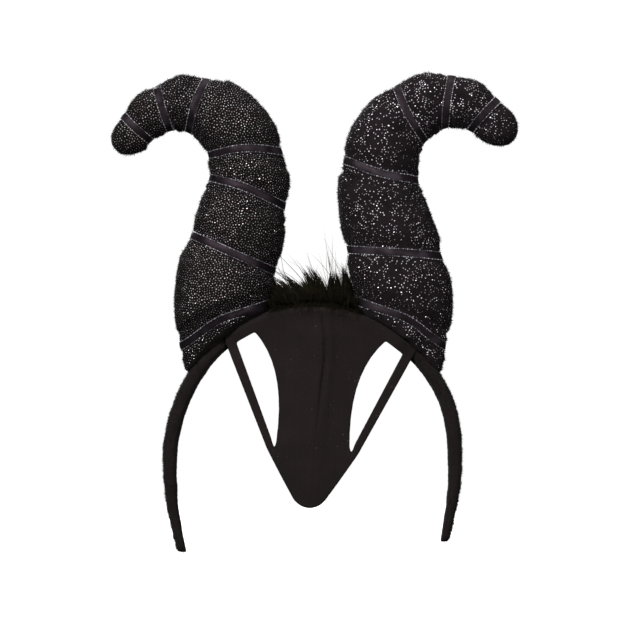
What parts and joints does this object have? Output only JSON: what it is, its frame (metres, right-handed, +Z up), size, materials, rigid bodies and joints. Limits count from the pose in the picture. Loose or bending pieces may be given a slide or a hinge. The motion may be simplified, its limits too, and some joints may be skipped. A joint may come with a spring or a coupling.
{
  "type": "horned costume headband",
  "caption": "Costume headband: a plush hoop carrying stuffed glitter horns bound with ribbon, a strapped fabric brow panel and a feather trim.",
  "frame": {"origin": "inner crown of the hoop, where it sits on the top of the head", "axes": "+Z up along the head, -Y to the front where the brow panel hangs, +X to the right of the front view"},
  "size_m": [0.1934, 0.0442, 0.2264],
  "materials": {
    "plush": "short black plush pile",
    "velour_fine": "black velour with fine, close silver glitter",
    "velour_bright": "black velour with sparse, bright silver glitter",
    "ribbon": "sheer dark satin with silver thread edges",
    "panel_fabric": "matte black knit on thin foam",
    "feather": "black marabou feather"
  },
  "bodies": {
    "root": {"headband": "plush", "horn_left": "velour_fine", "horn_right": "velour_bright", "ribbon_left_1": "ribbon", "ribbon_left_2": "ribbon", "ribbon_left_3": "ribbon", "ribbon_left_4": "ribbon", "ribbon_left_5": "ribbon", "ribbon_left_6": "ribbon", "ribbon_left_7": "ribbon", "ribbon_right_1": "ribbon", "ribbon_right_2": "ribbon", "ribbon_right_3": "ribbon", "ribbon_right_4": "ribbon", "ribbon_right_5": "ribbon", "ribbon_right_6": "ribbon", "forehead_panel": "panel_fabric", "feather_trim": "feather"}
  },
  "joints": []
}
